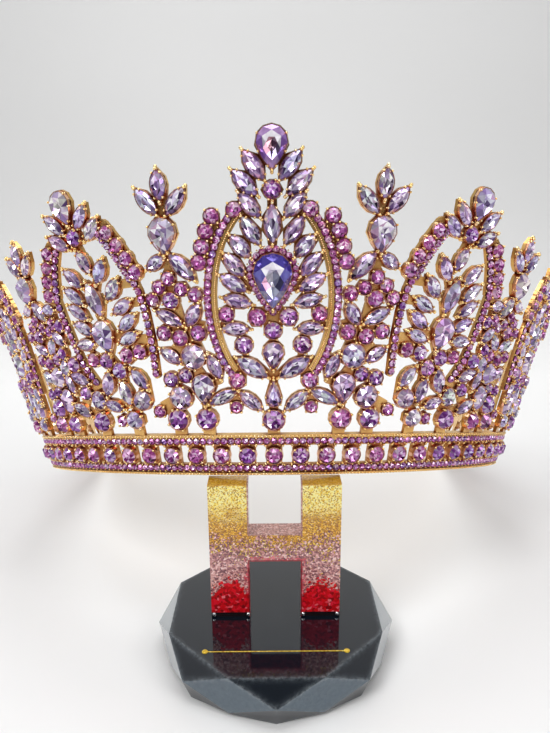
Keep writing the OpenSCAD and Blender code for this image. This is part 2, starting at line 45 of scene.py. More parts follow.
# Sizes of the crown, in mm and radians, as the frame has them
FRONT_R = 81.0  # radius of the band's front stretch
FRONT_TURN = math.radians(50)  # how far that stretch turns to each side
SIDE_R = 72.0  # radius of its side stretches
TAIL_LEN = 71.0  # length of its straight open ends
FLARE = math.radians(20)  # how far the wall leans out
BAND_H = 11.4
BAND_T = 1.2
SEAT_PITCH = 6.7  # from one of the band's seats to the next
SEAT_OUT = 0.5  # how far those seats stand out of the band
SEAT_UP = 5.7  # height of their middles
PLATE_OUT = 0.2  # how far the castings stand out of the band
SEAT_GAP = 0.15  # between a stone's back and its seat
RISE = 0.34  # height of a cut stone, as a share of its width

# Sizes of the stand, in mm
BASE_R = 30.5  # from the middle to a flat
BASE_H = 11.2
UPRIGHT_H, UPRIGHT_W, UPRIGHT_T = 39.2, 35.0, 6.0
POST_W = 10.6  # each leg of the H
BAR_UP, BAR_H = 16.9, 8.0  # its crossbar: the gap below it, and its height
REST_GAP = 0.3  # between the band and the upright's top
UPRIGHT_AHEAD = 0.1  # of the upright's back, ahead of the band's inner edge over it
BASE_BEHIND = 1.6  # how far the base's middle lies behind the upright's

# Where the crown stands, worked out from these
FRONT_ARC = FRONT_R * FRONT_TURN
SIDE_ARC = SIDE_R * (math.pi / 2 - FRONT_TURN)
HALF_PATH = FRONT_ARC + SIDE_ARC + TAIL_LEN
SIDE_X = (FRONT_R - SIDE_R) * math.sin(FRONT_TURN)
SIDE_Y = -(FRONT_R - SIDE_R) * math.cos(FRONT_TURN)
HALF_W = SIDE_X + SIDE_R
TAIL_END = SIDE_Y + TAIL_LEN
REST_Y = math.sqrt((FRONT_R - BAND_T / math.cos(FLARE)) ** 2 - (UPRIGHT_W / 2) ** 2)
TILT = math.asin((BASE_H + UPRIGHT_H + REST_GAP) / (REST_Y + TAIL_END))
CROWN_UP = TAIL_END * math.sin(TILT)
UPRIGHT_Y = -REST_Y * math.cos(TILT) - UPRIGHT_AHEAD - UPRIGHT_T / 2
BASE_Y = UPRIGHT_Y + BASE_BEHIND
CORNER_R = BASE_R / math.cos(math.pi / 8)
BAND_TOP = BAND_H * math.cos(FLARE) + BAND_T * math.sin(FLARE)
ORIGIN_Y = ((BASE_Y - CORNER_R) + TAIL_END * math.cos(TILT) + BAND_TOP * math.sin(TILT)) / 2
LEAN = np.array([[1, 0, 0], [0, math.cos(TILT), math.sin(TILT)], [0, -math.sin(TILT), math.cos(TILT)]])
SHIFT = np.array([0, -ORIGIN_Y, CROWN_UP])


def to_object(points):
    """Points of the crown's own frame, in mm, to the object's frame, in metres."""
    return (np.asarray(points, float) @ LEAN.T + SHIFT) * MM


def to_crown(points):
    """Points of the object's frame, in metres, to the crown's own frame, in mm."""
    return (points / MM - SHIFT) @ LEAN


def heading(run):
    """The way the band faces, in radians, at a distance along it from its front middle."""
    if run <= FRONT_ARC:
        return run / FRONT_R
    if run <= FRONT_ARC + SIDE_ARC:
        return FRONT_TURN + (run - FRONT_ARC) / SIDE_R
    return math.pi / 2


def place(run):
    """The point of the band's foot at a distance along it from its front middle."""
    angle = heading(run)
    if run <= FRONT_ARC:
        return np.array([FRONT_R * math.sin(angle), -FRONT_R * math.cos(angle), 0])
    if run <= FRONT_ARC + SIDE_ARC:
        return np.array([SIDE_X + SIDE_R * math.sin(angle), SIDE_Y - SIDE_R * math.cos(angle), 0])
    return np.array([HALF_W, SIDE_Y + run - FRONT_ARC - SIDE_ARC, 0])


class Wall:
    """A flat piece of the leaning wall, with places on it as (across, up, out) in mm."""

    def __init__(self, run, side=1, out=PLATE_OUT):
        angle = heading(run)
        outward = np.array([math.sin(angle), -math.cos(angle), 0])
        upward = np.array([0, 0, 1])
        self.run, self.side = run, side
        self.origin = place(run) + out * outward
        self.axes = np.array([[math.cos(angle), math.sin(angle), 0],
                              outward * math.sin(FLARE) + upward * math.cos(FLARE),
                              outward * math.cos(FLARE) - upward * math.sin(FLARE)])

    def points(self, places):
        """Places on this piece to points of the object's frame. The left side mirrors the right one."""
        return to_object((self.origin + np.asarray(places, float) @ self.axes) * [self.side, 1, 1])

    def places(self, points):
        """Points of the object's frame to places on this piece."""
        return (to_crown(points) * [self.side, 1, 1] - self.origin) @ self.axes.T


class Soup:
    """Many small parts, joined into one piece."""

    def __init__(self):
        self.verts, self.faces, self.colours, self.materials, self.smooth = [], [], [], [], []
        self.count = 0

    def add(self, points, faces, wall=None, colours=None, material=0, smooth=False):
        """Add a part, by its points in metres, or by its places on a wall piece."""
        if wall:
            points = wall.points(points)
            faces = [face[::wall.side] for face in faces]
        self.verts.append(np.asarray(points, float))
        self.faces += [[i + self.count for i in face] for face in faces]
        self.colours += [WHITE] * len(faces) if colours is None else list(colours)
        self.materials += [material] * len(faces)
        self.smooth += [smooth] * len(faces)
        self.count += len(points)

    def make(self, name, materials, slot, replaces=()):
        mesh = bpy.data.meshes.new(name)
        mesh.from_pydata(np.concatenate(self.verts).tolist(), [], self.faces)
        for material in materials:
            mesh.materials.append(material)
        mesh.polygons.foreach_set("material_index", self.materials)
        mesh.polygons.foreach_set("use_smooth", self.smooth)
        layer = mesh.color_attributes.new("facet", "FLOAT_COLOR", "CORNER")
        colours = np.concatenate([np.array(self.colours, float), np.ones((len(self.colours), 1))], 1)
        layer.data.foreach_set("color", np.repeat(colours, [len(face) for face in self.faces], 0).ravel())
        mesh.update()
        obj = bpy.data.objects.new(name, mesh)
        bpy.context.scene.collection.objects.link(obj)
        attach(obj, "root")
        if replaces:
            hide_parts(*replaces)


# Nodes for the materials
def srgb(*levels):
    """Levels from 0 to 255, as they are seen, to the shader's linear colour."""
    return tuple(((c / 255 + 0.055) / 1.055) ** 2.4 if c > 10 else c / 255 / 12.92 for c in levels)


def grey(level):
    return (level,) * 3


def feed(tree, socket, value):
    """Link a socket to an output, or give it a value of its own."""
    if isinstance(value, bpy.types.NodeSocket):
        tree.links.new(value, socket)
    elif isinstance(value, tuple):
        socket.default_value = (*value, 1)
    else:
        socket.default_value = value


def node(tree, kind, inputs=None, **settings):
    """A new node with its settings, and its inputs by name or number."""
    new = tree.nodes.new(kind)
    for name, value in settings.items():
        setattr(new, name, value)
    for name, value in (inputs or {}).items():
        feed(tree, new.inputs[name], value)
    return new


def new_material(name):
    """A material, its node tree, and the place on the object that its textures go by."""
    material = bpy.data.materials.new(name)
    material.use_nodes = True
    tree = material.node_tree
    return material, tree, node(tree, "ShaderNodeTexCoord").outputs["Object"]


def finish(tree, settings):
    """Feed the inputs of a material's shader."""
    for name, value in settings.items():
        feed(tree, tree.nodes["Principled BSDF"].inputs[name], value)


def ramp(tree, stops, amount):
    """A colour ramp through its stops, each a position and a colour."""
    new = node(tree, "ShaderNodeValToRGB", {"Fac": amount})
    while len(new.color_ramp.elements) < len(stops):
        new.color_ramp.elements.new(0.5)
    for element, (position, colour) in zip(new.color_ramp.elements, stops):
        element.position = position
        element.color = (*colour, 1)
    return new.outputs["Color"]


def heights(tree, height, stops):
    """A colour ramp by height over the floor, in mm."""
    low, high = stops[0][0], stops[-1][0]
    inputs = {"Value": height, "From Min": low * MM, "From Max": high * MM}
    share = node(tree, "ShaderNodeMapRange", inputs).outputs["Result"]
    return ramp(tree, [((h - low) / (high - low), colour) for h, colour in stops], share)


def noise(tree, where, scale, detail, roughness=0.5):
    inputs = {"Vector": where, "Scale": scale, "Detail": detail, "Roughness": roughness}
    return node(tree, "ShaderNodeTexNoise", inputs).outputs["Fac"]


def flakes(tree, where, scale):
    """Cells with three chances each, from 0 to 1: for its colour, for its being there and for its tilt."""
    cells = node(tree, "ShaderNodeTexVoronoi", {"Vector": where, "Scale": scale})
    return node(tree, "ShaderNodeSeparateColor", {0: cells.outputs["Color"]}).outputs


def mix(tree, amount, first, second, kind="MIX"):
    inputs = {"Fac": amount, "Color1": first, "Color2": second}
    return node(tree, "ShaderNodeMixRGB", inputs, blend_type=kind).outputs["Color"]


def calc(tree, operation, *values):
    return node(tree, "ShaderNodeMath", dict(enumerate(values)), operation=operation).outputs[0]


def bump(tree, height, strength, distance):
    inputs = {"Height": height, "Strength": strength, "Distance": distance}
    return node(tree, "ShaderNodeBump", inputs).outputs["Normal"]


# Materials
def gold_material(name, tones, painted_hollow_shade, reach, rough, painted_glow=0.0):
    """Polished cast gold, paler in patches, with a fine cast skin, painted shade in its hollows tinted
    rose as a painted reflection of the stones, and a painted glow.
    """
    material, tree, where = new_material(name)
    patches = noise(tree, where, 230.0, 4.0, 0.6)
    colour = ramp(tree, [(at, srgb(*tone)) for at, tone in zip((0.25, 0.5, 0.75), tones)], patches)
    # Painted shade: ambient occlusion darkens the hollows towards a rose shade colour, which also stands
    # for a painted reflection of the stones
    depth = node(tree, "ShaderNodeAmbientOcclusion", {"Distance": reach}, samples=4).outputs["AO"]
    shade = ramp(tree, [(0.42, srgb(*painted_hollow_shade)), (1.0, WHITE)], depth)
    colour = mix(tree, 1.0, colour, shade, "MULTIPLY")
    # Painted glow: the gold gives off its own colour at the glow strength
    finish(tree, {"Base Color": colour, "Metallic": 1.0,
                  "Emission Color": colour, "Emission Strength": painted_glow,
                  "Roughness": ramp(tree, [(0.3, grey(rough + 0.16)), (0.7, grey(rough))], patches),
                  "Normal": bump(tree, noise(tree, where, 1500.0, 2.0), 0.2, 0.0002)})
    return material


def plain_metal(name, stops, scale, metallic, rough):
    """The base's gold leaf or the studs' silver, with a little uneven colour."""
    material, tree, where = new_material(name)
    colour = ramp(tree, stops, noise(tree, where, scale, 3.0))
    finish(tree, {"Base Color": colour, "Metallic": metallic, "Roughness": rough})
    return material


def stone_material(name, metallic, rough):
    """Foil-backed glass: each facet carries its own painted reflection in its colour, with a little cloud
    and a clear glossy skin.
    """
    material, tree, where = new_material(name)
    facet = node(tree, "ShaderNodeVertexColor", layer_name="facet").outputs["Color"]
    cloud = ramp(tree, [(0.35, (0.80, 0.74, 0.82)), (0.6, WHITE)], noise(tree, where, 700.0, 2.0))
    finish(tree, {"Base Color": mix(tree, 1.0, facet, cloud, "MULTIPLY"), "Metallic": metallic,
                  "Roughness": rough, "Coat Weight": 0.8, "Coat Roughness": 0.03})
    return material


# The upright's glitter, in mm. How thick its gold and mauve flakes lie at each height over the floor:
GOLD_FLAKES = [(11, 0), (25, 0.04), (30, 0.26), (34, 0.66), (38, 0.8), (42, 0.6), (46, 0.5), (51, 0.62)]
MAUVE_FLAKES = [(11, 0.9), (22, 0.75), (28, 0.8), (33, 0.4), (37, 0), (51, 0)]
HEAP_TOP = 22.2  # the highest red flakes, over each post's middle
HEAP_FALL = 0.15  # how much lower they lie 1 mm aside, growing with the square
ARCH_RED = 1.7  # how far red flakes gather round the arch
CUT_EDGE = 0.4  # what counts as a cut edge of the arch
SKIN = 0.25  # what counts as an upper edge
FOOT = 1.3  # dark stretch at the foot
DRIFT, FRAY, JAG = 9, 2, 4  # how far the layers, the red round the arch and the heap's top wander
EDGE_WEAR = 2.6  # how near the crystal's edges are scuffed

# The colour of the resin behind the flakes, by height, and an orange-brown shade over its middle
GROUND = [(11, srgb(200, 112, 116)), (21, srgb(222, 156, 148)), (27, srgb(200, 142, 140)),
          (31, srgb(124, 72, 78)), (35, srgb(128, 68, 34)), (39, srgb(164, 106, 40)),
          (43, srgb(244, 228, 146)), (51, srgb(246, 236, 160))]
BELT = [(30, WHITE), (35, (0.90, 0.66, 0.5)), (40, (0.88, 0.70, 0.52)), (45, WHITE)]


def lies(tree, level, chance, table):
    """1 where a flake lies, by how thick its kind lies at that height."""
    return calc(tree, "LESS_THAN", chance, heights(tree, level, [(h, grey(share)) for h, share in table]))


def resin_material():
    """Clear resin with glitter: gold flakes, mauve ones, and coarse red ones heaped at the foot."""
    material, tree, where = new_material("glitter_resin")
    x, _, z = node(tree, "ShaderNodeSeparateXYZ", {0: where}).outputs
    side = calc(tree, "ABSOLUTE", x)
    drift = calc(tree, "SUBTRACT", noise(tree, where, 190.0, 3.0), 0.5)
    level = calc(tree, "ADD", z, calc(tree, "MULTIPLY", drift, DRIFT * MM))

    gold_pick, gold_chance, gold_tilt = flakes(tree, where, 3600.0)
    gold = ramp(tree, [(0.0, srgb(144, 100, 0)), (0.3, srgb(196, 148, 2)), (0.62, srgb(232, 190, 22)),
                       (0.88, srgb(253, 232, 92)), (1.0, srgb(255, 252, 206))], gold_pick)
    mauve_pick, mauve_chance, mauve_tilt = flakes(tree, where, 2300.0)
    mauve = ramp(tree, [(0.0, srgb(98, 44, 56)), (0.35, srgb(156, 90, 96)), (0.7, srgb(212, 150, 144)),
                        (1.0, srgb(246, 214, 210))], mauve_pick)
    red_pick, red_chance, red_tilt = flakes(tree, where, 1350.0)
    red = ramp(tree, [(0.0, srgb(140, 0, 8)), (0.3, srgb(200, 0, 12)), (0.7, srgb(236, 4, 24)),
                      (0.92, srgb(244, 30, 60)), (1.0, srgb(252, 130, 140))], red_pick)

    is_gold = lies(tree, level, gold_chance, GOLD_FLAKES)
    colour = mix(tree, is_gold, heights(tree, level, GROUND), gold)
    colour = mix(tree, 1.0, colour, heights(tree, level, BELT), "MULTIPLY")
    colour = mix(tree, lies(tree, level, mauve_chance, MAUVE_FLAKES), colour, mauve)

    # Red flakes gather round the arch
    away = calc(tree, "MAXIMUM", calc(tree, "SUBTRACT", side, (UPRIGHT_W / 2 - POST_W) * MM),
                calc(tree, "SUBTRACT", z, (BASE_H + BAR_UP) * MM))
    away = calc(tree, "ADD", away, calc(tree, "MULTIPLY", mauve_tilt, FRAY * MM))
    near = calc(tree, "MULTIPLY", calc(tree, "LESS_THAN", away, ARCH_RED * MM), 0.8)
    colour = mix(tree, near, colour, mix(tree, 0.5, red, srgb(196, 84, 110)))

    # Each post's heap of red flakes is highest in its middle
    off = calc(tree, "ABSOLUTE", calc(tree, "SUBTRACT", side, (UPRIGHT_W - POST_W) / 2 * MM))
    fall = calc(tree, "MULTIPLY", calc(tree, "POWER", off, 2.0), -HEAP_FALL / MM)
    jag = calc(tree, "MULTIPLY", calc(tree, "SUBTRACT", red_chance, 0.5), JAG * MM)
    in_heap = calc(tree, "LESS_THAN", z, calc(tree, "ADD", calc(tree, "ADD", fall, jag), HEAP_TOP * MM))
    colour = mix(tree, in_heap, colour, red)
    colour = mix(tree, calc(tree, "LESS_THAN", z, (BASE_H + FOOT) * MM), colour, srgb(26, 12, 16))
    # Painted shade: the top faces, under the band, take the gold flakes half mixed with a darker
    # orange-gold
    top_painted_shade = calc(tree, "GREATER_THAN", z, (BASE_H + UPRIGHT_H - SKIN) * MM)
    colour = mix(tree, top_painted_shade, colour, mix(tree, 0.5, gold, srgb(196, 132, 24)))

    # The cut edges round the arch show red, darkened as painted shade, and the crossbar's upper edge tan
    in_arch = calc(tree, "LESS_THAN", side, (UPRIGHT_W / 2 - POST_W + CUT_EDGE) * MM)
    under = calc(tree, "LESS_THAN", z, (BASE_H + BAR_UP + CUT_EDGE) * MM)
    cut_red_painted_shade = mix(tree, 0.7, red, srgb(104, 22, 34))
    colour = mix(tree, calc(tree, "MULTIPLY", in_arch, under), colour, cut_red_painted_shade)
    over = calc(tree, "GREATER_THAN", z, (BASE_H + BAR_UP + BAR_H - SKIN) * MM)
    tan = mix(tree, 0.4, mauve, srgb(160, 122, 96))
    colour = mix(tree, calc(tree, "MULTIPLY", in_arch, over), colour, tan)

    shine = mix(tree, in_heap, mix(tree, is_gold, BLACK, grey(0.4)), grey(0.25))
    tilt = mix(tree, in_heap, gold_tilt, red_tilt)
    # Painted glow: the resin gives off a little of its own colour, standing in for light through it
    finish(tree, {"Base Color": colour, "Emission Color": colour, "Emission Strength": 0.08,
                  "Metallic": shine, "Roughness": 0.35, "Coat Weight": 1.0, "Coat Roughness": 0.04,
                  "Normal": bump(tree, tilt, 0.6, 0.0003)})
    return material


def crystal_material():
    """Polished black crystal, its edges scuffed pale, its faces lightly dusted, with painted reflections
    on its upright and sideways facets.
    """
    material, tree, where = new_material("black_crystal")
    normal = node(tree, "ShaderNodeNewGeometry").outputs["Normal"]
    rounded = node(tree, "ShaderNodeBevel", {"Radius": EDGE_WEAR * MM}, samples=8).outputs["Normal"]
    flat = node(tree, "ShaderNodeVectorMath", {0: rounded, 1: normal}, operation="DOT_PRODUCT")
    edge = ramp(tree, [(0.9, grey(0.9)), (0.985, grey(0.2)), (1.0, BLACK)], flat.outputs["Value"])
    dust = noise(tree, where, 900.0, 8.0, 0.8)
    wear = mix(tree, 1.0, edge, ramp(tree, [(0.36, grey(0.1)), (0.62, WHITE)], dust), "MULTIPLY")
    speck = ramp(tree, [(0.68, (0.003, 0.006, 0.011)), (0.78, (0.03, 0.036, 0.042))], dust)

    # The upright kites are painted blue-grey in dusty patches, dust and painted reflection, and the facets
    # that turn to the sides are painted light grey, a painted reflection
    x, _, z = node(tree, "ShaderNodeSeparateXYZ", {0: normal}).outputs
    upright = calc(tree, "LESS_THAN", calc(tree, "ABSOLUTE", z), 0.05)
    dust_and_painted_reflection = ramp(tree, [(0.3, (0.044, 0.07, 0.098)), (0.7, (0.08, 0.118, 0.152))], dust)
    # Painted reflection: facets facing the sides, and not down, are painted light grey
    turned = ramp(tree, [(0.55, BLACK), (0.68, WHITE)], calc(tree, "ABSOLUTE", x))
    turned = mix(tree, 1.0, turned, calc(tree, "GREATER_THAN", z, -0.05), "MULTIPLY")
    face = mix(tree, turned, mix(tree, upright, speck, dust_and_painted_reflection), srgb(158, 164, 168))
    finish(tree, {"Base Color": mix(tree, wear, face, srgb(112, 120, 126)), "IOR": 1.6,
                  "Coat Weight": 0.3, "Coat Roughness": 0.02,
                  "Roughness": ramp(tree, [(0.0, grey(0.06)), (1.0, grey(0.5))], wear)})
    return material


# Cast gold for the frame; rim gold for the collars, tinted pink as a painted reflection of the stones,
# with a faint painted glow; and a pale gold with a stronger painted glow as the painted highlight on the
# claws, the grain and the oval's ribbon
CAST_GOLD = gold_material("gold", [(222, 174, 104), (231, 186, 114), (239, 199, 128)],
                          (154, 92, 100), 0.0028, 0.22)
RIM_GOLD_PAINTED_REFLECTION = gold_material("gold_rim_painted_reflection", [(206, 146, 110), (224, 172, 136), (243, 212, 178)],
                         (168, 92, 118), 0.0016, 0.18, 0.03)
PAINTED_HIGHLIGHT_GOLD = gold_material("gold_painted_highlight", [(240, 202, 124), (250, 226, 162), (254, 242, 208)],
                            (220, 164, 112), 0.001, 0.14, 0.13)
LEAF = [(0.35, srgb(190, 148, 20)), (0.55, srgb(236, 204, 70)), (0.7, srgb(252, 232, 120))]
GILT = plain_metal("gilt", LEAF, 1800.0, 0.35, 0.4)
SILVER = plain_metal("silver", [(0.3, srgb(170, 176, 182)), (0.7, srgb(235, 238, 240))], 900.0, 1.0, 0.18)
STONES = [stone_material("pale_stone", 0.55, 0.10), stone_material("deep_stone", 0.45, 0.12)]
DEEP_TONES = ("pink", "violet")  # these take the second of the two
RESIN = resin_material()
CRYSTAL = crystal_material()

# Facet colours of each tone of stone, from bright to dark, the stone's tone with painted reflections from
# white flashes to dark facets, and the colour of its edge
PALETTES = {
    "pale": [(252, 248, 254), (233, 218, 240), (220, 204, 236), (194, 174, 216), (168, 142, 192),
             (198, 156, 190), (130, 102, 154), (88, 66, 104), (54, 38, 66)],
    "violet": [(240, 218, 244), (206, 148, 220), (178, 104, 194), (154, 76, 172), (128, 54, 148),
               (102, 38, 118), (70, 24, 84)],
    "pink": [(250, 216, 242), (228, 156, 214), (206, 114, 188), (184, 86, 166), (158, 62, 142),
             (126, 42, 114), (90, 28, 82)],
}
EDGES = {"pale": (134, 100, 170), "violet": (104, 42, 124), "pink": (140, 48, 114)}
PALETTES = {tone: np.array([srgb(*colour) for colour in colours]) for tone, colours in PALETTES.items()}
EDGES = {tone: np.array(srgb(*colour)) for tone, colour in EDGES.items()}

# A stone by its cut, its middle and turn on a wall piece, in mm and degrees, its size and its tone
Stone = namedtuple("Stone", "cut across up turn length width tone")


def grown(stone, by):
    return stone._replace(length=stone.length + by, width=stone.width + by)


# Outlines of the cuts, clockwise from the tip
def navette_outline(length, width, count):
    radius = (length * length + width * width) / (4 * width)
    up = (1 - 2 * np.arange(count // 2 + 1) / (count // 2)) * length / 2
    across = np.sqrt(radius * radius - up * up) - radius + width / 2
    right = np.stack([across, up], 1)
    return np.concatenate([right, (right * [-1, 1])[::-1][1:-1]])


def pear_outline(length, width, count):
    """A round head, and two lightly bowed sides that meet in the tip."""
    radius = width / 2
    start = math.acos(min(0.97, radius / (length - radius)))
    side = (count - 1) // 4
    arc = count - 1 - 2 * side
    angle = start + (2 * math.pi - 2 * start) * np.arange(arc) / (arc - 1)
    head = np.array([0, radius - length / 2]) + radius * np.stack([np.sin(angle), np.cos(angle)], 1)
    tip = np.array([0, length / 2])
    share = np.arange(1, side + 1)[:, None] / (side + 1)
    bow = np.sin(np.pi * share) * 0.04 * width * np.array([1, 0.3])
    right = tip + (head[0] - tip) * share + bow
    left = (tip + (head[-1] - tip) * share + bow * [-1, 1])[::-1]
    return np.concatenate([[tip], right, head, left])


def round_outline(length, width, count):
    angle = 2 * math.pi * np.arange(count) / count
    return np.stack([width / 2 * np.sin(angle), length / 2 * np.cos(angle)], 1)


OUTLINES = {"navette": navette_outline, "pear": pear_outline, "round": round_outline}


def lifted(ring, height):
    """A flat ring of points at a height."""
    return np.concatenate([ring, np.full((len(ring), 1), height)], 1)


def on_wall(points, across, up, turn, lift=0.0):
    """Points of a part to places on the wall: turned clockwise, in degrees, and moved."""
    angle = math.radians(turn)
    x = points[:, 0] * math.cos(angle) + points[:, 1] * math.sin(angle)
    y = -points[:, 0] * math.sin(angle) + points[:, 1] * math.cos(angle)
    return np.stack([x + across, y + up, points[:, 2] + lift], 1)


# A cut stone's rings: widths as shares of its outline, heights as shares of its rise
BACK_W, TABLE_W, STAR_W = 0.94, 0.66, 0.36
GIRDLE_UP, STAR_UP, KEEL_UP = 0.34, 0.76, 0.5
KEEL_LEN = 0.30  # half its keel, as a share of what its length has over its width


def cut_stone(cut, length, width, count):
    """A cut stone's points and its facets, each with its kind: edge, crown, star or keel."""
    girdle = OUTLINES[cut](length, width, count)
    rise, half = width * RISE, count // 2
    middle = np.array([0, -0.08 * length if cut == "pear" else 0.0])
    table = middle + (girdle[::2] - middle) * TABLE_W
    star = middle + (girdle[1::2] - middle) * STAR_W
    keel = middle + np.array([[0, 1], [0, -1]]) * max(0.0, (length - width) * KEEL_LEN)
    rings = [(girdle * BACK_W, 0), (girdle, GIRDLE_UP), (table, 1), (star, STAR_UP), (keel, KEEL_UP)]
    points = np.concatenate([lifted(ring, rise * up) for ring, up in rings])
    # The first point of the girdle, of the table, of the star ring and of the keel
    g, t, s, k = count, 2 * count, 2 * count + half, 2 * count + 2 * half
    low = [int(point[1] < middle[1] - 1e-9) for point in star]
    facets = []
    for i in range(count):
        n = (i + 1) % count
        facets.append(("edge", [i, n, g + n, g + i]))
    for i in range(half):
        n = (i + 1) % half
        a, b, c = g + 2 * i, g + (2 * i + 1) % count, g + (2 * i + 2) % count
        facets += [("crown", face) for face in ([t + i, a, b], [t + i, b, t + n], [t + n, b, c])]
        facets += [("star", face) for face in ([t + i, t + n, s + i], [s + i, t + n, s + n])]
        facets.append(("keel", [s + i, s + n, k + low[n]]))
        if low[i] != low[n]:
            facets.append(("keel", [s + i, k + low[n], k + low[i]]))
    kinds, faces = zip(*facets)
    return points, [face[::-1] for face in faces], kinds


def crest_painted_reflections(kind, across, up):
    """The crest pear's painted reflections: violet edge, white under the top, dark and dusky red below,
    pale lilac point.
    """
    if kind in ("edge", "crown"):
        if abs(across) > 0.4 and up < 0.6:
            return (150, 104, 190)
        return (196, 168, 214) if up < 0.2 else (176, 136, 196)
    if kind == "keel":
        return (104, 72, 96) if across > 0 else (190, 138, 150)
    if up > 0.15:
        return (244, 240, 248) if abs(across) < 0.5 else (170, 132, 196)
    if up < -0.35:
        return (176, 156, 220)
    return (156, 96, 116) if across < 0 else (92, 76, 108)


def centre_painted_reflections(kind, across, up):
    """The centre pear's painted reflections: deep blue head, white under it, dusky red left, dark right,
    ice blue point.
    """
    if kind in ("edge", "crown"):
        return (78, 64, 176) if up > 0.25 else (108, 104, 196) if up > -0.35 else (160, 176, 230)
    if kind == "keel":
        return (248, 247, 252) if up < -0.1 else (226, 222, 234) if across < 0 else (132, 134, 160)
    if up > 0.15:
        return (242, 240, 248) if abs(across) < 0.4 else (112, 104, 196)
    return (166, 112, 140) if across < -0.15 else (72, 70, 104) if across > 0.15 else (204, 210, 236)


# Stones whose facets are painted with a fixed pattern of reflections
OWN_PAINTED_REFLECTIONS = {"crest": crest_painted_reflections, "centre": centre_painted_reflections}
PALER_FROM, PALER_OVER = 30, 25  # pale stones are painted lighter, as painted light, from here along the band, in mm
gems, collars, grains = Soup(), Soup(), Soup()
cuts = {}


def add_gem(wall, stone, count=16, lift=SEAT_GAP):
    """A cut stone with painted reflections: its upper facets are painted bright and its lower ones dark,
    with chance in between.
    """
    key = (stone.cut, round(stone.length, 2), round(stone.width, 2), count)
    if key not in cuts:
        points, faces, kinds = cut_stone(stone.cut, stone.length, stone.width, count)
        cuts[key] = points, faces, kinds, np.array([points[face].mean(0) for face in faces])
    points, faces, kinds, middles = cuts[key]
    middles = on_wall(middles, 0, 0, stone.turn)
    across, up = middles[:, 0] / (stone.width / 2), middles[:, 1] / (stone.length / 2)
    own = OWN_PAINTED_REFLECTIONS.get(stone.tone)
    tone = "pale" if own else stone.tone
    palette, edge = PALETTES[tone], EDGES[tone]
    paler = np.clip((wall.run - PALER_FROM) / PALER_OVER, 0, 1) if stone.tone == "pale" else 0.0
    # Painted light: upper facets are painted brighter than lower ones, and small stones and pale ones
    # further along the band a little brighter
    depth = (0.37 if stone.length > 3 else 0.34) - 0.2 * paler - 0.30 * up
    depth += rng.uniform(-0.58, 0.58, len(faces))
    shades = np.clip((depth * len(palette)).astype(int), 0, len(palette) - 1)
    colours = palette[shades] * (1 + rng.normal(0, 0.05, 3))
    flash = rng.uniform(0.0, 0.7, len(faces))
    for k, kind in enumerate(kinds):
        if own:
            colours[k] = np.array(srgb(*own(kind, across[k], up[k]))) * rng.uniform(0.82, 1.12)
        elif kind == "edge":
            colours[k] = edge * 0.8
        elif kind == "crown":
            colours[k] = colours[k] * (1 - flash[k]) + edge * flash[k]
    places = on_wall(points, stone.across, stone.up, stone.turn, lift)
    gems.add(places, faces, wall, colours, int(stone.tone in DEEP_TONES))


# Gold settings
def strip_faces(rows, count, first=0):
    """Faces between rows of points, each row a closed ring of them, from the first point on."""
    return [[row + i, row + count + i, row + count + (i + 1) % count, row + (i + 1) % count]
            for row in range(first, first + (rows - 1) * count, count) for i in range(count)]


def bead(radius, sides):
    """The upper part of a ball: its top, and three rings of points."""
    points = [(0, 0, radius)]
    for latitude in (60, 20, -20):
        ring = radius * math.cos(math.radians(latitude))
        height = radius * math.sin(math.radians(latitude))
        for i in range(sides):
            around = 2 * math.pi * (i + (latitude == 20) / 2) / sides
            points.append((ring * math.cos(around), ring * math.sin(around), height))
    top = [[0, 1 + i, 1 + (i + 1) % sides] for i in range(sides)]
    return np.array(points), top + strip_faces(3, sides, 1)


def add_bead(wall, across, up, out, radius, sides=5):
    points, faces = bead(radius, sides)
    grains.add(points + [across, up, out], faces, wall, smooth=True)


def add_cup(wall, stone, top, wide, count=16):
    """A gold collar round a stone, from the casting up to just over the girdle."""
    outline = OUTLINES[stone.cut](stone.length, stone.width, count)
    along = np.roll(outline, -1, 0) - np.roll(outline, 1, 0)
    outward = np.stack([-along[:, 1], along[:, 0]], 1)
    outward /= np.linalg.norm(outward, axis=1)[:, None] + 1e-9
    outward *= np.sign((outward * outline).sum(1).mean())
    # How far each ring stands out of the stone's outline, and its height
    rings = [(wide + 0.06, -0.5), (wide, top * 0.7), (wide * 0.72, top), (0.05, top), (0.02, top - 0.3)]
    points = np.concatenate([lifted(outline + outward * out, height) for out, height in rings])
    points = on_wall(points, stone.across, stone.up, stone.turn)
    collars.add(points, strip_faces(len(rings), count), wall)


# Points of an outline of 16 that carry claws: those at its tips, which have two, and those at its sides
CLAWS = {"navette": ((0, 8), (1, 7, 9, 15)), "pear": ((0,), (1, 4, 6, 10, 12, 15)),
         "round": ((), (2, 6, 10, 14))}


def add_setting(wall, stone, small=False):
    """A stone's collar and its claws, a bead each on a smaller foot."""
    girdle = SEAT_GAP + stone.width * RISE * GIRDLE_UP
    add_cup(wall, stone, girdle + 0.12, 0.22 if small else 0.28, 12 if small else 16)
    outline = OUTLINES[stone.cut](stone.length, stone.width, 16)
    tips, sides = CLAWS[stone.cut]
    radius = 0.36 if small else 0.42
    # Each claw's point, how far out it stands, its height over the girdle and its size
    claws = [(i, 0.75, -0.1, 1.15) for i in tips] + [(i, 0.25, 0.28, 1.15) for i in tips]
    claws += [(i, 0.25, 0.28, 0.8 if tips else 1.0) for i in sides]
    for i, out, height, share in claws:
        point = outline[i] * (1.0 + out / max(np.linalg.norm(outline[i]), 1))
        across, up, _ = on_wall(np.array([[*point, 0]]), stone.across, stone.up, stone.turn)[0]
        add_bead(wall, across, up, girdle + height, radius * share)
        add_bead(wall, across, up, girdle - 0.35, radius * share * 0.95, 4)


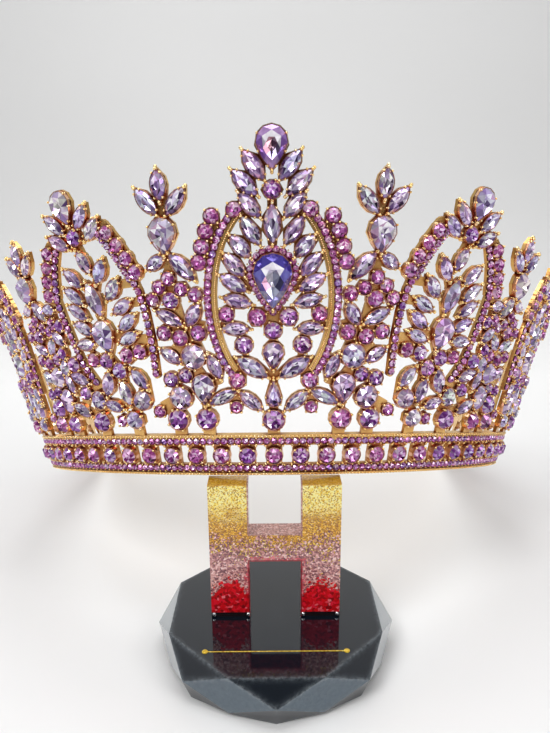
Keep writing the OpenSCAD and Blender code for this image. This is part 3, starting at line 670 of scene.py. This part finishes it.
# The frame's stones, read back as cut, place, turn and size
KEPT_NODES = ("crown_frame", "stand_base", "stand_upright")
stone_nodes = [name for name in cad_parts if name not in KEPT_NODES]
WELD = 5e-6  # metres, within which corners are one
GRID = 2e-6  # metres, to which their places are rounded
FLAT = 0.05  # mm that a stone's back may be off its wall piece
PEAR_CORNERS = 10  # of the ring of a pear's back in the source
ROUND_WIDER = 1.04  # share by which round stones are cut wider than their eight-sided solids


def islands(obj):
    """The corners of each separate solid of a node, in metres, in a fixed order."""
    turn_and_move = np.array(obj.matrix_world)
    points = np.array([vertex.co[:] for vertex in obj.data.vertices])
    points = points @ turn_and_move[:3, :3].T + turn_and_move[:3, 3]
    tree = KDTree(len(points))
    for i, point in enumerate(points):
        tree.insert(point, i)
    tree.balance()
    same = [min(j for _, j, _ in tree.find_range(point, WELD)) for point in points]
    parent = list(range(len(points)))

    def root(i):
        while parent[i] != i:
            parent[i] = parent[parent[i]]
            i = parent[i]
        return i

    faces = [[same[i] for i in face.vertices] for face in obj.data.polygons]
    for first, *others in faces:
        for other in others:
            parent[root(other)] = root(first)
    solids = {}
    for face in faces:
        solids.setdefault(root(face[0]), set()).update(face)
    corners = [np.round(points[list(solid)] / GRID).astype(int) for solid in solids.values()]
    return [np.unique(solid, axis=0) * GRID for solid in corners]


def measured(ring):
    """The stone whose back has this ring of corners, without a tone."""
    spans = ((ring[:, None] - ring[None]) ** 2).sum(2)
    i, j = np.unravel_index(spans.argmax(), spans.shape)
    axis = (ring[i] - ring[j]) / math.sqrt(spans[i, j])
    pear = len(ring) == PEAR_CORNERS
    if pear:
        # Its tip is the corner farthest from the mean of them all
        mean = ring.mean(0)
        tip = ring[((ring - mean) ** 2).sum(1).argmax()]
        axis = axis if (tip - mean) @ axis >= 0 else -axis
    sideways = np.array([axis[1], -axis[0]])
    along, across = ring @ axis, ring @ sideways
    length, width = np.ptp(along), np.ptp(across)
    middle = axis * (along.max() + along.min()) / 2 + sideways * (across.max() + across.min()) / 2
    turn = math.degrees(math.atan2(axis[0], axis[1]))
    if pear or length / width > 1.5:
        return Stone("pear" if pear else "navette", *middle, turn, length, width, None)
    return Stone("round", *middle, turn, length, width * ROUND_WIDER, None)


def read_stones():
    """Each stone of the frame, after its node's name and the wall piece that it sits flat on."""
    walls = [Wall(run, side) for run, *_ in MOTIFS for side in (1, -1)]
    for name in stone_nodes:
        for points in islands(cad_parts[name]):
            fits = [(wall, wall.places(points)) for wall in walls]
            fits = [(wall, places) for wall, places in fits if abs(places[:, 2].min() - SEAT_GAP) < FLAT]
            wall, places = min(fits, key=lambda fit: abs(fit[1][:, 0].mean()))
            yield name, wall, measured(places[places[:, 2] < SEAT_GAP + FLAT][:, :2])


# Fine stones whose seats are part of the metal
def dots(size, tone, *places):
    """Round stones of one size and tone."""
    return [Stone("round", across, up, 0, size, size, tone) for across, up in places]


FINE_CENTRE = (
    dots(3.5, "pink", (11.5, 42.7)) + dots(2.8, "pink", (9.5, 18.8))
    + dots(3.4, "pink", (9.1, 67.8), (14.5, 66.3), (16, 62.8), (17.1, 59.1), (17.9, 55.4)))
FINE_SPIRE = (
    dots(3.2, "pink", (1, 52.4), (3.7, 50.4), (-2.1, 49.6), (5.9, 47.4)) + dots(3.3, "pink", (-5.6, 48))
    + dots(3.5, "pink", (3.9, 38.8)) + dots(3.8, "pink", (-0.3, 37.4)) + dots(3.7, "pink", (-5.3, 38.4))
    + dots(3.4, "violet", (-0.4, 27.5)) + dots(3.6, "violet", (3.7, 26.6)) + dots(2.8, "pink", (8.1, 18)))
# On the second spire's inner side, at their full size
FINE_INNER = [
    Stone("navette", -8, 48.4, 82, 6.2, 2.8, "pale"), *dots(3.3, "pink", (-7.8, 44.4)),
    *dots(3.3, "violet", (-11.2, 43.4)), Stone("navette", -8.9, 40, 52, 6.4, 3, "pale"),
    *dots(3.3, "violet", (-8.6, 35.8)), Stone("round", -7.9, 31.6, 0, 4.4, 3.6, "pale")]
# In the third spire these are fine stones too
FINE_THIRD = [
    Stone("navette", 3.8, 56.5, 122, 5.6, 3.1, "pale"), *dots(4, "pink", (1, 47)),
    Stone("navette", -4.4, 43, -33, 6.7, 3.4, "pale"), Stone("round", -3.2, 32.4, -20, 6.6, 5.8, "pale"),
    Stone("navette", 2.9, 32.8, 53, 6.4, 3.2, "pale"), *dots(5.8, "pale", (1.6, 21.6)),
    *dots(5.3, "violet", (-4.8, 15.7)), *dots(5.3, "pink", (3.1, 15.7))]
FINE_PANEL = [
    *dots(3.5, "pink", (-9.9, 65), (-12.3, 61.6), (-14.4, 58), (-16.3, 54.3)),
    *dots(3.3, "pink", (11.6, 62.6), (13, 59), (14, 55.4), (14.6, 51.7)),
    *dots(3.6, "pink", (-12.4, 34.2)), *dots(3.5, "pink", (3.9, 33)),
    *dots(3.8, "violet", (11.6, 32.2)), *dots(2.8, "pink", (-1.3, 15.6)),
    *dots(3.5, "violet", (9.6, 23.9)), Stone("round", 5.4, 21.8, 0, 4.9, 4.2, "pale"),
    Stone("navette", 10.6, 28.1, 66, 6.6, 3.1, "pale"), Stone("navette", 12.4, 19, 58, 6.4, 3, "pale")]
TAIL_STEPS, TAIL_FIRST, TAIL_PITCH = 5, 6, 11.5
FINE_TAIL = [stone for k in range(TAIL_STEPS) for stone in (
    dots(5.3, "violet", (TAIL_FIRST + k * TAIL_PITCH, 15.5))
    + dots(3.3, "pink", (TAIL_FIRST + (k + 0.5) * TAIL_PITCH, 17.5)))]

# The castings: how far along the band each stands, its height as a share of the full one, the fine
# stones that follow its height, and those that don't
MOTIFS = [(0, 1, FINE_CENTRE, []), (20.6, 1, FINE_SPIRE, []), (41, 1, FINE_PANEL, []),
          (62, 0.85, FINE_SPIRE, FINE_INNER), (83, 0.85, FINE_PANEL, []),
          (104, 0.7, FINE_SPIRE + FINE_THIRD, []), (FRONT_ARC + SIDE_ARC, 1, FINE_TAIL, [])]
# Lines of small stones on an oval panel's arms and rails: across and up
PANEL_LINES = [
    [(-6.9, 65.2), (-9.9, 60.7), (-12.0, 56.9), (-13.9, 53.0)],
    [(-14.4, 53.6), (-15.9, 49.5), (-16.6, 44), (-16.6, 36), (-15.8, 28.2)],
    [(8.6, 62.6), (10.4, 58.8), (11.4, 55.1), (12.2, 50.9)],
    [(12.5, 50.2), (11.6, 45.5), (10.2, 38.6), (8.4, 32), (5.2, 26.8)]]
STONE_GROW, FINE_GROW = 0.2, 0.35  # how much larger a stone is cut than its solid or its named size

# Small stones in rows: their size and pitch on a panel, the oval, the halo and the band
PANEL_SMALL, PANEL_PITCH = 2.05, 2.1
OVAL_SMALL, OVAL_PITCH = 2.0, 1.85
HALO_SMALL, HALO_PITCH = 1.85, 1.75
BAND_SMALL, BAND_PITCH = 1.85, 1.8
SMALL_OUT = 0.12  # their backs over the casting
GRAIN_R, GRAIN_OUT = 0.24, 0.22  # the gold grains between them


def lowered(across, up, grade):
    """A place on a full casting to the same place on a lower one."""
    return across * min(1, grade + 0.1), BAND_H + (up - BAND_H) * grade


def graded(stone, grade):
    """A stone of a full casting, moved and made smaller for a lower one."""
    across, up = lowered(stone.across, stone.up, grade)
    size = (grade + 1) / 2 if grade > 0.8 else grade
    return stone._replace(across=across, up=up, length=stone.length * size, width=stone.width * size)


def walk(points, pitch):
    """Evenly spaced places along a line through the points."""
    points = np.array(points, float)
    run = np.concatenate([[0], np.cumsum(np.linalg.norm(np.diff(points, axis=0), axis=1))])
    at = np.linspace(0, run[-1], max(2, round(run[-1] / pitch) + 1))
    return np.stack([np.interp(at, run, points[:, 0]), np.interp(at, run, points[:, 1])], 1)


def pave(wall, points, size, pitch):
    """A row of small round stones with a pair of gold beads between each two."""
    at = walk(points, pitch)
    for k, (across, up) in enumerate(at):
        turn = rng.uniform(0, 45)
        tone = "pink" if rng.random() > 0.12 else "violet"
        add_gem(wall, Stone("round", across, up, turn, size, size, tone), 8, SMALL_OUT)
        if k:
            step = at[k] - at[k - 1]
            sideways = np.array([-step[1], step[0]]) / np.linalg.norm(step) * size * 0.5
            for side in (1, -1):
                between = (at[k] + at[k - 1]) / 2 + side * sideways
                add_bead(wall, *between, GRAIN_OUT, GRAIN_R)


def dress_main_stones():
    """The frame's own stones, cut and set."""
    for name, wall, stone in read_stones():
        large = stone.length > 1.08 * stone.width or stone.length > 5.5
        if stone.cut != "round" or large:
            tone = {"centre_stone_1": "crest", "centre_stone_4": "centre"}.get(name, "pale")
        else:
            tone = "pink" if rng.random() < 0.4 else "violet"
        add_gem(wall, grown(stone._replace(tone=tone), STONE_GROW))
        add_setting(wall, stone, small=max(stone.length, stone.width) < 5)


def dress_castings():
    """The castings' fine stones, and the lines of small ones on the oval panels."""
    for side in (1, -1):
        for run, grade, stones, full_size in MOTIFS:
            wall = Wall(run, side)
            for stone in [graded(stone, grade) for stone in stones] + full_size:
                stone = grown(stone, FINE_GROW)
                add_gem(wall, stone, 12 if stone.length < 5 else 16)
                add_setting(wall, stone, small=True)
            for line in PANEL_LINES if stones is FINE_PANEL else []:
                pave(wall, [lowered(*spot, grade) for spot in line], PANEL_SMALL, PANEL_PITCH)


# The centre panel: its oval rim, with a strip on the inner half painted bright as a painted highlight, and
# the pear in the middle
OVAL_UP, OVAL_HALF_W, OVAL_HALF_H = 46.8, 15.3, 24.8
OVAL_RIM, STRIP_W = 3.4, 1.4
OVAL_TURNS = np.radians(np.linspace(32, 139, 60))  # clockwise from the oval's top
RIBBON = [(-0.5, 0.3), (-0.34, 0.56), (0.34, 0.56), (0.5, 0.3)]  # across the strip's middle, and out
RIBBON_GRAIN_OUT, RIBBON_GRAIN_PITCH = 0.58, 0.5
CENTRE_PEAR = Stone("pear", 0, 50.9, 180, 13.4, 9.4, None)
HALO_LONGER, HALO_WIDER = 2.0, 1.8  # the ring's middle line against the pear


def oval(turn, out):
    """A place on the oval, moved out by some mm."""
    return (OVAL_HALF_W + out) * math.sin(turn), OVAL_UP + (OVAL_HALF_H + out) * math.cos(turn)


def dress_centre():
    """The row outside the oval strip, the strip's beaded ribbon, and the ring round the centre pear."""
    inner = (STRIP_W - OVAL_RIM) / 2
    for side in (1, -1):
        wall = Wall(0, side)
        pave(wall, [oval(turn, STRIP_W / 2) for turn in OVAL_TURNS], OVAL_SMALL, OVAL_PITCH)
        points = [[*oval(turn, inner + out), height] for turn in OVAL_TURNS for out, height in RIBBON]
        faces = [[4 * k + j + 4, 4 * k + j + 5, 4 * k + j + 1, 4 * k + j]
                 for k in range(len(OVAL_TURNS) - 1) for j in range(3)]
        grains.add(points, faces, wall)
        for spot in walk([oval(turn, inner) for turn in OVAL_TURNS], RIBBON_GRAIN_PITCH):
            add_bead(wall, *spot, RIBBON_GRAIN_OUT, GRAIN_R)
    ring = pear_outline(CENTRE_PEAR.length + HALO_LONGER, CENTRE_PEAR.width + HALO_WIDER, 64)
    ring = on_wall(lifted(ring, 0), CENTRE_PEAR.across, CENTRE_PEAR.up, CENTRE_PEAR.turn)[:, :2]
    pave(Wall(0), np.concatenate([ring, ring[:1]]), HALO_SMALL, HALO_PITCH)


# The band: a round stone in each seat, a row of small ones along each rail, and milled edges
SEAT_STONE, SEAT_STONE_OUT = 4.4, 0.05  # how far a stone's back stands over its seat
SEAT_CUP_OUT, SEAT_CUP_W = 0.7, 0.2
CLAW_AT, CLAW_R = 2.3 * math.sqrt(0.5), 0.36  # how far aside and up from the stone's middle, and size
FILL_ASIDE, FILL_UP, FILL_OUT, FILL_R = 2.2, 2.5, 0.1, 0.45  # beads in the corners between the seats
ROWS_UP, ROWS_OUT, ROWS_STOP = (2.0, 9.5), 0.1, 1.2  # the last is how far they stay from the ends
ROW_GRAIN_UP, ROW_GRAIN_OUT, ROW_GRAIN_R = 0.86, 0.3, 0.28
MILL_PITCH, MILL_IN, MILL_OUT, MILL_R = 0.95, 0.4, 0.42, 0.34


def along_band(pitch, reach, stop=HALF_PATH):
    """Wall pieces at the band's face, a pitch apart, from its left end to its right one."""
    count = int(reach / pitch)
    for i in range(-count, count + 1):
        yield Wall(min(abs(i) * pitch, stop), -1 if i < 0 else 1, 0)


def dress_band():
    """The band's stones, their settings and the milled edges."""
    for wall in along_band(SEAT_PITCH, HALF_PATH - SEAT_STONE):
        tone = "pink" if rng.random() < 0.45 else "violet"
        stone = Stone("round", 0, SEAT_UP, rng.uniform(0, 45), SEAT_STONE, SEAT_STONE, tone)
        add_gem(wall, stone, lift=SEAT_OUT + SEAT_STONE_OUT)
        add_cup(wall, stone._replace(turn=0), SEAT_OUT + SEAT_CUP_OUT, SEAT_CUP_W)
        for x, y in ((1, 1), (-1, 1), (-1, -1), (1, -1)):
            add_bead(wall, CLAW_AT * x, SEAT_UP + CLAW_AT * y, SEAT_OUT + SEAT_CUP_OUT, CLAW_R)
            add_bead(wall, FILL_ASIDE * x, SEAT_UP + FILL_UP * y, FILL_OUT, FILL_R)
    for wall in along_band(BAND_PITCH, HALF_PATH, HALF_PATH - ROWS_STOP):
        for up in ROWS_UP:
            tone = "pink" if rng.random() < 0.85 else "violet"
            stone = Stone("round", 0, up, rng.uniform(0, 45), BAND_SMALL, BAND_SMALL, tone)
            add_gem(wall, stone, 8, ROWS_OUT)
            for side in (1, -1):
                add_bead(wall, BAND_PITCH / 2, up + ROW_GRAIN_UP * side, ROW_GRAIN_OUT, ROW_GRAIN_R)
    for wall in along_band(MILL_PITCH, HALF_PATH):
        for up in (MILL_IN, BAND_H - MILL_IN):
            add_bead(wall, 0, up, MILL_OUT, MILL_R)


# The stand: a gold line with a dot at each end on the base, and small silver studs at the posts' feet
LINE_HALF, LINE_W, LINE_H = 18, 0.28, 0.12
LINE_AHEAD = 18.8  # of the base's middle
DOT_R, DOT_H = 0.75, 0.14
STUD_R, STUD_UP, STUD_OUT, STUDS_AT = 0.62, 0.75, 0.05, (-16.8, -7.5, 7.5, 16.8)


def add_dot(soup, x, y, radius, height, sides=20):
    """A low round dot on the base with a sloping edge."""
    turns = 2 * math.pi * np.arange(sides) / sides
    ring = np.stack([np.cos(turns), np.sin(turns)], 1) * radius
    rings = [(1, 0), (1, height), (0.6, height * 1.5)]
    points = np.concatenate([lifted(ring * share + [x, y], BASE_H + up) for share, up in rings])
    faces = [face[::-1] for face in strip_faces(len(rings), sides)]
    soup.add(points * MM, faces + [list(range(2 * sides, 3 * sides))])


def add_bar(soup, half, y, width, height):
    """A thin straight line on the base with bevelled upper edges."""
    profile = [(-0.5, 0), (0.5, 0), (0.5, 0.6), (0.3, 1), (-0.3, 1), (-0.5, 0.6)]
    points = [(x, y + width * across, BASE_H + height * up)
              for x in (-half, half) for across, up in profile]
    count = len(profile)
    faces = strip_faces(2, count) + [list(range(count)), list(range(count, 2 * count))[::-1]]
    soup.add(np.array(points) * MM, faces)


def dress_stand():
    """The base's line and dots, and the studs at the upright's feet."""
    trim, studs = Soup(), Soup()
    line_y = BASE_Y - ORIGIN_Y - LINE_AHEAD
    add_bar(trim, LINE_HALF, line_y, LINE_W, LINE_H)
    for x in (-LINE_HALF, LINE_HALF):
        add_dot(trim, x, line_y, DOT_R, DOT_H)
    trim.make("base_line", [GILT], "gold")
    stud_y = UPRIGHT_Y - ORIGIN_Y - UPRIGHT_T / 2 - STUD_OUT
    for x in STUDS_AT:
        points, faces = bead(STUD_R, 10)
        studs.add((points + [x, stud_y, BASE_H + STUD_UP]) * MM, faces, smooth=True)
    studs.make("foot_studs", [SILVER], "gold")


dress_main_stones()
dress_castings()
dress_centre()
dress_band()
gems.make("cut_stones", STONES, "lilac_stone", stone_nodes)
collars.make("stone_collars", [RIM_GOLD_PAINTED_REFLECTION], "gold")
grains.make("claws_and_grain", [PAINTED_HIGHLIGHT_GOLD], "gold")
dress_stand()
for name, material in zip(KEPT_NODES, (CAST_GOLD, CRYSTAL, RESIN)):
    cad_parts[name].data.materials.clear()
    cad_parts[name].data.materials.append(material)

# Floor, lights and camera, in metres
FLOOR_FRONT, FLOOR_BACK, CURVE_R, WALL_TOP, HALF_STAGE = -1.2, 0.55, 0.35, 1.6, 2.2


def make_stage():
    """A pale floor that curves up into a pale wall far behind the crown."""
    turns = np.linspace(0, math.pi / 2, 16)
    profile = [(FLOOR_FRONT, 0.0)]
    profile += [(FLOOR_BACK + CURVE_R * math.sin(turn), CURVE_R * (1 - math.cos(turn))) for turn in turns]
    profile += [(FLOOR_BACK + CURVE_R, WALL_TOP)]
    mesh = bpy.data.meshes.new("floor")
    mesh.from_pydata([(x, y, z) for y, z in profile for x in (-HALF_STAGE, HALF_STAGE)], [],
                     [[2 * i, 2 * i + 1, 2 * i + 3, 2 * i + 2] for i in range(len(profile) - 1)])
    mesh.polygons.foreach_set("use_smooth", [True] * len(mesh.polygons))
    floor = bpy.data.objects.new("floor", mesh)
    bpy.context.scene.collection.objects.link(floor)
    material, tree, where = new_material("floor")
    distance = node(tree, "ShaderNodeSeparateXYZ", {0: where}).outputs["Y"]
    # Painted light: the floor glows, from nothing near the crown to a faint glow further back, brightening
    # the backdrop behind it
    finish(tree, {"Base Color": grey(0.8), "Roughness": 0.45, "Emission Strength": 1.0,
                  "Emission Color": ramp(tree, [(0.05, BLACK), (0.2, (0.14, 0.14, 0.138))], distance)})
    mesh.materials.append(material)


def make_light(name, location, target, size, power):
    """A soft light from a rectangle that faces its target."""
    light = bpy.data.lights.new(name, "AREA")
    light.shape = "RECTANGLE"
    light.size, light.size_y = size
    light.energy = power
    lamp = bpy.data.objects.new(name, light)
    lamp.location = location
    lamp.rotation_euler = (Vector(target) - Vector(location)).to_track_quat("-Z", "Y").to_euler()
    bpy.context.scene.collection.objects.link(lamp)


def make_world():
    """A studio's room: bright overhead and behind the crown, dark below and on the camera's side."""
    world = bpy.data.worlds.new("studio")
    bpy.context.scene.world = world
    world.use_nodes = True
    tree = world.node_tree
    where = node(tree, "ShaderNodeTexCoord").outputs["Generated"]
    _, y, z = node(tree, "ShaderNodeSeparateXYZ", {0: where}).outputs
    height = calc(tree, "ADD", z, calc(tree, "MULTIPLY", noise(tree, where, 2.6, 1.0), 0.5))
    sky = ramp(tree, [(0.0, (0.10, 0.09, 0.10)), (0.30, (0.16, 0.15, 0.17)), (0.52, (0.62, 0.62, 0.64)),
                      (0.85, WHITE)], height)
    depth = ramp(tree, [(0.0, grey(0.10)), (0.38, grey(0.24)), (0.56, WHITE)],
                 calc(tree, "ADD", calc(tree, "MULTIPLY", y, 0.5), 0.5))
    background = tree.nodes["Background"]
    feed(tree, background.inputs["Color"], mix(tree, 1.0, sky, depth, "MULTIPLY"))
    background.inputs["Strength"].default_value = 0.85


# The photograph's camera, fitted in the crown's own frame: mm, radians, and pixels of the 550x733 picture
CAM_BACK, CAM_UP, LOOK_UP, ROLL = 253.9, 11.3, math.radians(5.72), math.radians(-0.48)
PHOTO_H, FOCAL, SHIFT_X = 733, 650, 1.5
SENSOR = 36.0


def make_camera():
    data = bpy.data.cameras.new("camera")
    data.sensor_width = SENSOR
    data.lens = FOCAL / PHOTO_H * SENSOR
    data.shift_x = SHIFT_X / PHOTO_H
    data.clip_start = 0.01
    camera = bpy.data.objects.new("camera", data)
    bpy.context.scene.collection.objects.link(camera)
    level_right, level_up = np.array([1.0, 0, 0]), np.array([0, -math.sin(LOOK_UP), math.cos(LOOK_UP)])
    right = LEAN @ (level_right * math.cos(ROLL) + level_up * math.sin(ROLL))
    up = LEAN @ (level_up * math.cos(ROLL) - level_right * math.sin(ROLL))
    axes = np.stack([right, up, np.cross(right, up), to_object([0, -CAM_BACK, CAM_UP])], 1)
    camera.matrix_world = Matrix([*axes.tolist(), [0, 0, 0, 1]])
    bpy.context.scene.camera = camera


make_stage()
make_light("key", (-0.45, -0.55, 0.75), (0, 0, 0.08), (0.35, 0.35), 4.6)
make_light("fill", (0.6, -0.5, 0.5), (0, 0, 0.08), (0.3, 0.5), 2.4)
make_light("top", (0, 0.05, 1.0), (0, 0, 0.05), (0.7, 0.7), 4.2)
make_world()
make_camera()
bpy.context.scene.view_settings.view_transform = "Standard"
